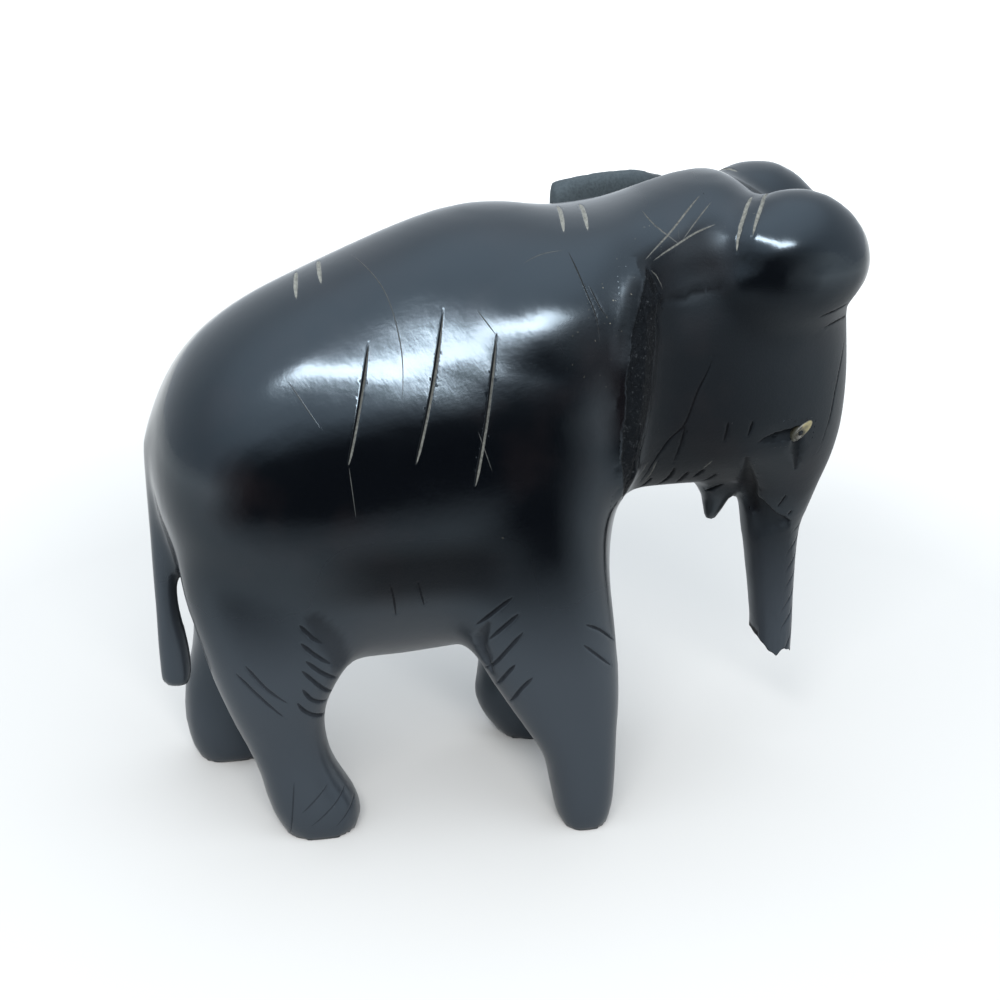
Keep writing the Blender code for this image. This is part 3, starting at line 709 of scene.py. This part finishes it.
def makeInlay(name, side):
    bm = bmesh.new()
    ring = bmesh.ops.create_circle(bm, cap_ends=False, segments=48, radius=1.0)["verts"]
    edges = bm.edges[:]
    long, wide, crown = inlay["long"] / 2, inlay["wide"] / 2, inlay["crown"]
    pupilLong, pupilWide, back = inlay["pupilLong"] / 2, inlay["pupilWide"] / 2, side * inlay["pupilBack"]
    steps = [   # half length, half width, along, height of each next ring
        (long, wide, 0.0, -inlay["deep"]),
        (long, wide, 0.0, -0.02),
        (long * 0.93, wide * 0.86, 0.0, crown * 0.75),
        (long * 0.78, wide * 0.7, 0.0, crown),
        (pupilLong * 1.15, pupilWide * 1.2, back, crown * 0.9),
        (pupilLong, pupilWide, back, crown * 0.5),
        (pupilLong * 0.9, pupilWide * 0.85, back, -inlay["pupilDeep"]),
    ]
    unit = {v: v.co.copy() for v in ring}
    for number, (halfLong, halfWide, shift, height) in enumerate(steps):
        if number:
            made = bmesh.ops.extrude_edge_only(bm, edges=edges)["geom"]
            fresh = [g for g in made if isinstance(g, bmesh.types.BMVert)]
            edges = [g for g in made if isinstance(g, bmesh.types.BMEdge)]
            old = list(unit.items())
            unit = {v: min(old, key=lambda item: (item[0].co - v.co).length)[1] for v in fresh}
        for v, place in unit.items():
            v.co = Vector((place.x * halfLong + shift, place.y * halfWide, height))
    bmesh.ops.contextual_create(bm, geom=edges)                             # floor of the pupil
    bmesh.ops.contextual_create(bm, geom=[e for e in bm.edges if e.is_boundary])    # back of the inlay
    bmesh.ops.recalc_face_normals(bm, faces=bm.faces)
    for face in bm.faces:
        centre = face.calc_center_median()
        inPupil = math.hypot((centre.x - back) / pupilLong, centre.y / pupilWide) < 1.0
        face.material_index = int(inPupil and -1.0 < centre.z < crown * 0.6)
        face.smooth = True
    clean = bm.verts.layers.float.new("clean")   # the sides and the rear end are stained
    for v in bm.verts:
        upperEnd = 0.12 + 0.88 * ramp(-side * v.co.x, -0.1, 0.9)
        v[clean] = float(ramp(v.co.z, -0.05, crown) * upperEnd)
    bmesh.ops.transform(bm, matrix=eyeFrame(side) @ Matrix.Diagonal((mm, mm, mm, 1)), verts=bm.verts)
    return newObject(name, meshFrom(bm, name))


inlays = {"eye_inlay_right": makeInlay("boneInlayRight", -1), "eye_inlay_left": makeInlay("boneInlayLeft", 1)}
print("inlays made")


def newMaterial(name):
    made = bpy.data.materials.new(name)
    made.use_nodes = True
    made.node_tree.nodes.clear()
    add = partial(addNode, made.node_tree)
    coords = add("TexCoord", take="Object")
    inMm = add("Mapping", {"Vector": coords, "Scale": (1000, 1000, 1000)})
    return made, add, inMm


ebony = {       # sizes are in millimetres, and a pattern's grain is how many fit in one
    "black": "#030406", "brown": "#0d090a", "faded": "#202327", "dust": "#75756f", "fleck": "#8f8a78",
    "torn": "#050608", "tornPale": "#2b2d2f", "sawn": "#15191b", "sawnPale": "#32383a",
    "sheen": (0.7, 0.86, 1.0, 1), "shadow": (0.06, 0.065, 0.07, 1),
    "roughness": (0.12, 0.2), "handled": 0.17, "dullRoughness": 0.7, "sheenLoss": 0.92,
    "cloudSize": 13.0, "gritGrain": 2.6, "speckGrain": 1.7, "raggedGrain": 3.0, "ragged": 0.3, "edge": 0.09,
    "crumbs": (     # grain, size, more, pale
        (0.5, 0.045, 0.0, 0.5), (1.1, 0.13, 0.12, 0.8), (1.9, 0.17, 0.1, 0.6),
    ),
    "rippleGrain": 0.9, "ripple": 1.3, "sanding": ((0.45, 3.0), (-0.6, 2.2), (1.35, 3.5)),   # turn, length
    "sandingWide": (0.22, 0.9), "sandingDeep": 0.24, "coarse": 16.0, "coarseInCuts": 0.3,
    "relief": 0.0000085, "ior": 1.5,
}


def strokeMasks(add, layer, patchy):
    # masks with an even edge, from the distance to the nearest stroke; the dust lies along one side of it
    cut, filled = 0.0, 0.0
    for kind in ("cut", "hair"):
        gap, half, fill = layer[kind + "Gap"], layer[kind + "Half"], layer[kind + "Fill"]
        lean = add("Math", {0: half, 1: fill}, operation="SUBTRACT")
        masks = []
        for centre, reach, strength in ((0.0, half, 1.0), (lean, fill, layer[kind + "Dust"])):
            away = add("Math", {0: gap, 1: centre}, operation="SUBTRACT")
            away = add("Math", {0: away}, operation="ABSOLUTE")
            inside = add("Math", {0: reach, 1: away}, operation="SUBTRACT")
            mask = add("MapRange", {"Value": inside, "From Max": ebony["edge"]})
            masks.append(add("Math", {0: mask, 1: strength}, operation="MULTIPLY"))
        cut = add("Math", {0: cut, 1: masks[0]}, operation="MAXIMUM")
        filled = add("Math", {0: filled, 1: masks[1]}, operation="MAXIMUM")
    filled = add("Math", {0: filled, 1: patchy}, operation="MULTIPLY")
    return cut, filled


def addCrumbs(add, inMm, crumbs, colour):
    # flecks of pale dust: ragged dots of three sizes, more of them where it lies thick
    wander = add("TexNoise", {"Vector": inMm, "Scale": ebony["raggedGrain"]}, take="Color")
    wander = add("Mix", {0: ebony["ragged"], 4: inMm, 5: wander}, take=1, data_type="VECTOR")
    for grain, size, more, pale in ebony["crumbs"]:
        cell = add("TexVoronoi", {"Vector": wander, "Scale": grain}, feature="F1").node.outputs
        dot = add("MapRange", {"Value": cell["Distance"], "From Min": size, "From Max": 0.5 * size})
        chance = add("SeparateXYZ", {0: cell["Color"]})
        thick = add("Math", {0: crumbs, 1: 1.0 - more}, operation="ADD")
        kept = add("Math", {0: thick, 1: chance}, operation="MULTIPLY")
        kept = add("MapRange", {"Value": kept, "From Min": 0.9, "From Max": 1.3, "To Max": pale})
        dot = add("Math", {0: dot, 1: kept}, operation="MULTIPLY")
        colour = add("Mix", {0: dot, 6: colour, 7: linear(ebony["fleck"])}, take=2, data_type="RGBA")
    return colour


def sandedHeight(add, inMm):
    # sanding lines about 0.2 mm wide in three directions, over a slight ripple left by the sanding
    ripple = add("TexNoise", {"Vector": inMm, "Scale": ebony["rippleGrain"], "Detail": 2.0})
    height = add("Math", {0: ripple, 1: ebony["ripple"]}, operation="MULTIPLY")
    for turn, long in ebony["sanding"]:
        turned = {"Vector": inMm, "Rotation": (0.0, turn, 0.0), "Scale": (*ebony["sandingWide"], long)}
        turned = add("Mapping", turned, vector_type="TEXTURE")
        line = add("TexNoise", {"Vector": turned, "Scale": 1.0, "Detail": 2.0, "Roughness": 0.6})
        height = add("Math", {0: line, 1: ebony["sandingDeep"], 2: height}, operation="MULTIPLY_ADD")
    return height


def ebonyMaterial():
    # Ebony, carved with a knife, sanded and waxed: nearly black with brown clouds and a satin wax gloss,
    # dust in the shallow cuts, no wax in the deep ones, bare torn wood where the ear and trunk broke off.
    # The darker sheen in the cuts, hollows and recesses and under the belly is painted shade.
    made, add, inMm = newMaterial("waxedEbony")
    names = layerNames + ["dull", "crumbs", "broken", "sawn", "matte", "faded"]
    layer = {name: add("Attribute", take="Fac", attribute_name=name) for name in names}

    cloud = add("TexNoise", {"Vector": inMm, "Scale": 1 / ebony["cloudSize"], "Detail": 3.0})
    grit = add("TexNoise", {"Vector": inMm, "Scale": ebony["gritGrain"], "Detail": 4.0, "Roughness": 0.65})
    speck = add("TexNoise", {"Vector": inMm, "Scale": ebony["speckGrain"], "Detail": 6.0, "Roughness": 0.8})
    patchy = add("MapRange", {"Value": grit, "From Min": 0.35, "From Max": 0.6, "To Min": 0.45})
    clouded = add("MapRange", {"Value": cloud, "From Min": 0.5, "From Max": 0.72, "To Max": 0.8})
    flecked = add("MapRange", {"Value": speck, "From Min": 0.57, "From Max": 0.67})
    torn = add("MapRange", {"Value": layer["broken"], "From Max": 0.25})
    cut, filled = strokeMasks(add, layer, patchy)

    # each look lies over the ones before it: its share, and its colour or the two that it mixes
    colour = linear(ebony["black"])
    looks = ((clouded, "brown"), (layer["faded"], "faded"), (layer["sawn"], "sawn", "sawnPale", patchy),
             (torn, "torn", "tornPale", flecked), (filled, "dust"))
    for share, name, *pale in looks:
        over = linear(ebony[name])
        if pale:
            over = add("Mix", {0: pale[1], 6: over, 7: linear(ebony[pale[0]])}, take=2, data_type="RGBA")
        colour = add("Mix", {0: share, 6: colour, 7: over}, take=2, data_type="RGBA")
    colour = addCrumbs(add, inMm, layer["crumbs"], colour)

    # no wax in cuts and breaks; the darker sheen in cuts, hollows, recesses and under the belly is also
    # painted shade
    bareAndShaded = add("Math", {0: cut, 1: layer["dull"]}, operation="MAXIMUM")
    bareAndShaded = add("Math", {0: bareAndShaded, 1: torn}, operation="MAXIMUM")
    bareAndShaded = add("Math", {0: bareAndShaded, 1: ebony["sheenLoss"]}, operation="MULTIPLY")
    sheen = add("Mix", {0: bareAndShaded, 6: ebony["sheen"], 7: ebony["shadow"]}, take=2, data_type="RGBA")
    low, high = ebony["roughness"]
    dulling = {"Value": cloud, "From Min": 0.3, "From Max": 0.7, "To Min": low, "To Max": high}
    dulling = add("MapRange", dulling)
    dulling = add("Math", {0: layer["matte"], 1: ebony["handled"], 2: dulling}, operation="MULTIPLY_ADD")
    bareAndShaded = add("Math", {0: bareAndShaded, 1: layer["sawn"]}, operation="MAXIMUM")
    rough = add("Mix", {0: bareAndShaded, 2: dulling, 3: ebony["dullRoughness"]})

    height = sandedHeight(add, inMm)
    coarse = add("Math", {0: bareAndShaded, 1: ebony["coarseInCuts"]}, operation="MULTIPLY")
    coarse = add("Math", {0: coarse, 1: torn}, operation="MAXIMUM")
    coarse = add("Math", {0: coarse, 1: grit}, operation="MULTIPLY")
    height = add("Math", {0: coarse, 1: ebony["coarse"], 2: height}, operation="MULTIPLY_ADD")
    bump = add("Bump", {"Height": height, "Strength": 1.0, "Distance": ebony["relief"]})
    waxed = {"Base Color": colour, "Specular Tint": sheen, "Roughness": rough, "IOR": ebony["ior"],
             "Normal": bump}
    add("OutputMaterial", {"Surface": add("BsdfPrincipled", waxed)})
    return made


bone = {
    "cream": "#6a6346", "shade": "#25241c", "roughness": 0.4, "poreGrain": 1.6, "poreDeep": 0.00004,
    "pupil": "#17150e", "smear": "#2b281a", "pupilRoughness": 0.5, "smearGrain": 3.0,
}


def boneMaterial():
    # Bone, sawn, filed and waxed with the figure: cream on its upper end, stained below and in its pores.
    made, add, inMm = newMaterial("filedBone")
    pores = add("TexNoise", {"Vector": inMm, "Scale": bone["poreGrain"], "Detail": 4.0})
    clean = add("Attribute", take="Fac", attribute_name="clean")
    clean = add("Math", {0: pores, 1: clean}, operation="ADD")
    clean = add("MapRange", {"Value": clean, "From Min": 0.65, "From Max": 1.35})
    colour = {0: clean, 6: linear(bone["shade"]), 7: linear(bone["cream"])}
    colour = add("Mix", colour, take=2, data_type="RGBA")
    bump = add("Bump", {"Height": pores, "Strength": 0.5, "Distance": bone["poreDeep"]})
    filed = {"Base Color": colour, "Roughness": bone["roughness"], "Normal": bump}
    add("OutputMaterial", {"Surface": add("BsdfPrincipled", filed)})
    return made


def pupilMaterial():
    # Dark wax rubbed into the hollow of the pupil: olive black, dull.
    made, add, inMm = newMaterial("darkWax")
    smear = add("TexNoise", {"Vector": inMm, "Scale": bone["smearGrain"], "Detail": 3.0})
    colour = {0: smear, 6: linear(bone["pupil"]), 7: linear(bone["smear"])}
    colour = add("Mix", colour, take=2, data_type="RGBA")
    wax = add("BsdfPrincipled", {"Base Color": colour, "Roughness": bone["pupilRoughness"]})
    add("OutputMaterial", {"Surface": wax})
    return made


elephant.data.materials.clear()
elephant.data.materials.append(ebonyMaterial())
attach(elephant, "root")
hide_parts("elephant")
boneMade, waxMade = boneMaterial(), pupilMaterial()
for node, obj in inlays.items():
    obj.data.materials.append(boneMade)
    obj.data.materials.append(waxMade)
    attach(obj, "root")
    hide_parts(node)
print("materials made")


# The studio is a pale room with one soft lamp and a black card.
view = {"aimHeight": 44.4, "azimuth": -10.5, "elevation": 22.0, "distance": 251.8,
        "lens": 63.0, "sensor": 36.0}
paper = {"half": 6000.0, "under": 0.05, "near": "#b0aeab", "far": "#ece8e2", "reach": (110.0, 420.0),
         "roughness": 0.9, "specular": 0.2}
lamp = {"azimuth": -6.4, "elevation": 32.4, "away": 560.0, "tilt": -40.0, "wide": 510.0, "high": 62.0,
        "power": 4.0}
room = {
    "low": 1.15, "rise": 0.95, "tint": (0.88, 0.96, 1.04, 1),
    "glow": (-8.0, 56.0), "glowPower": 0.87,        # the brightest part of the room: azimuth, elevation
}
blackCard = {       # it keeps the flank from mirroring only white, and fades in and out over these stretches
    "foot": 58.0, "away": 119.0, "top": 125.0, "rear": -175.0, "front": 150.0, "slope": 0.07,
    "lip": (0.5, 12.0), "fadeUp": (1.0, 11.0), "fadeTop": (68.0, 106.0),
    "fadeRear": (-174.0, -90.0), "fadeFront": (45.0, 149.0), "black": (0.02, 0.021, 0.023, 1),
}


def aimAt(obj, target):
    obj.rotation_euler = (target - obj.location).to_track_quat("-Z", "Y").to_euler()


def standOff(azimuth, elevation, distance):
    a, e = math.radians(azimuth), math.radians(elevation)
    return Vector((math.sin(a) * math.cos(e), -math.cos(a) * math.cos(e), math.sin(e))) * distance * mm


def placeCamera(centre):
    camera = newObject("camera", bpy.data.cameras.new("camera"))
    camera.data.lens = view["lens"]
    camera.data.sensor_width = view["sensor"]
    camera.data.clip_start = 0.01
    camera.location = centre + standOff(view["azimuth"], view["elevation"], view["distance"])
    aimAt(camera, centre)
    bpy.context.scene.camera = camera


def layPaper():
    bm = bmesh.new()
    under = Matrix.Translation((0, 0, -paper["under"] * mm))
    bmesh.ops.create_grid(bm, x_segments=1, y_segments=1, size=paper["half"] * mm, matrix=under)
    sheet = newObject("floor", meshFrom(bm, "floor"))
    made, add, inMm = newMaterial("paperWithPaintedLight")
    # painted light: the paper is greyer near the figure and whiter far off
    reach = add("VectorMath", {0: inMm}, take="Value", operation="LENGTH")
    low, high = paper["reach"]
    reach = add("MapRange", {"Value": reach, "From Min": low, "From Max": high})
    pale = add("Mix", {0: reach, 6: linear(paper["near"]), 7: linear(paper["far"])}, take=2, data_type="RGBA")
    matt = {"Base Color": pale, "Roughness": paper["roughness"], "Specular IOR Level": paper["specular"]}
    add("OutputMaterial", {"Surface": add("BsdfPrincipled", matt)})
    sheet.data.materials.append(made)
    return sheet


def cardMaterial():
    # Black card, seen only in the polish: its edges fade so that they leave no line there.
    made, add, inMm = newMaterial("blackCard")
    spot = add("SeparateXYZ", {0: inMm}).node.outputs
    across, upward = spot["X"], spot["Z"]
    lowered = add("Math", {0: across, 1: -blackCard["slope"], 2: upward}, operation="MULTIPLY_ADD")
    cover = 1.0
    edges = ((upward, "fadeUp", 0.0), (lowered, "fadeTop", 1.0), (across, "fadeRear", 0.0),
             (across, "fadeFront", 1.0))
    for value, name, first in edges:
        low, high = blackCard[name]
        fade = {"Value": value, "From Min": low, "From Max": high, "To Min": first, "To Max": 1.0 - first}
        fade = add("MapRange", fade)
        cover = add("Math", {0: fade, 1: cover}, operation="MULTIPLY")
    clear = add("BsdfTransparent")
    black = add("Emission", {"Color": blackCard["black"]})
    shown = add("MixShader", {0: cover, 1: clear, 2: black})
    add("OutputMaterial", {"Surface": shown})
    return made


def standCard():
    bm = bmesh.new()
    low, bend = blackCard["lip"]
    rows = [(blackCard["foot"], low), (blackCard["away"], bend), (blackCard["away"], blackCard["top"])]
    ends = [[bm.verts.new(Vector((x, middle - away, up)) * mm) for away, up in rows]
            for x in (blackCard["rear"], blackCard["front"])]
    for i in (0, 1):
        bm.faces.new((ends[0][i], ends[1][i], ends[1][i + 1], ends[0][i + 1]))
    stood = newObject("blackCard", meshFrom(bm, "blackCard"))
    stood.data.materials.append(cardMaterial())
    for ray in ("camera", "diffuse", "shadow", "transmission", "volume_scatter"):
        setattr(stood, "visible_" + ray, False)
    return stood


def hangLamp(centre):
    panel = newObject("softPanel", bpy.data.lights.new("softPanel", "AREA"))
    panel.data.shape = "RECTANGLE"
    panel.data.size, panel.data.size_y = lamp["wide"] * mm, lamp["high"] * mm
    panel.data.energy = lamp["power"]
    panel.location = centre + standOff(lamp["azimuth"], lamp["elevation"], lamp["away"])
    aimAt(panel, centre)
    panel.rotation_euler.rotate_axis("Z", math.radians(lamp["tilt"]))


def lightRoom():
    # the room is brighter overhead and below, and has one broad glow
    world = bpy.data.worlds.new("paleRoom")
    bpy.context.scene.world = world
    world.use_nodes = True
    world.node_tree.nodes.clear()
    add = partial(addNode, world.node_tree)
    direction = add("TexCoord", take="Generated")
    up = add("SeparateXYZ", {0: direction}, take="Z")
    up = add("Math", {0: up, 1: up}, operation="MULTIPLY")
    light = add("Math", {0: up, 1: room["rise"], 2: room["low"]}, operation="MULTIPLY_ADD")
    toward = {0: direction, 1: standOff(*room["glow"], 1 / mm)}
    toward = add("VectorMath", toward, take="Value", operation="DOT_PRODUCT")
    glow = {"Value": toward, "From Min": 0.5, "From Max": 1.0, "To Max": room["glowPower"]}
    glow = add("MapRange", glow, interpolation_type="SMOOTHSTEP")
    light = add("Math", {0: light, 1: glow}, operation="ADD")
    air = add("Background", {"Color": room["tint"], "Strength": light})
    add("OutputWorld", {"Surface": air})


centre = Vector((0, middle, view["aimHeight"])) * mm
placeCamera(centre)
floor, card = layPaper(), standCard()
hangLamp(centre)
lightRoom()
bpy.context.scene.view_settings.view_transform = "Standard"
print("studio made")
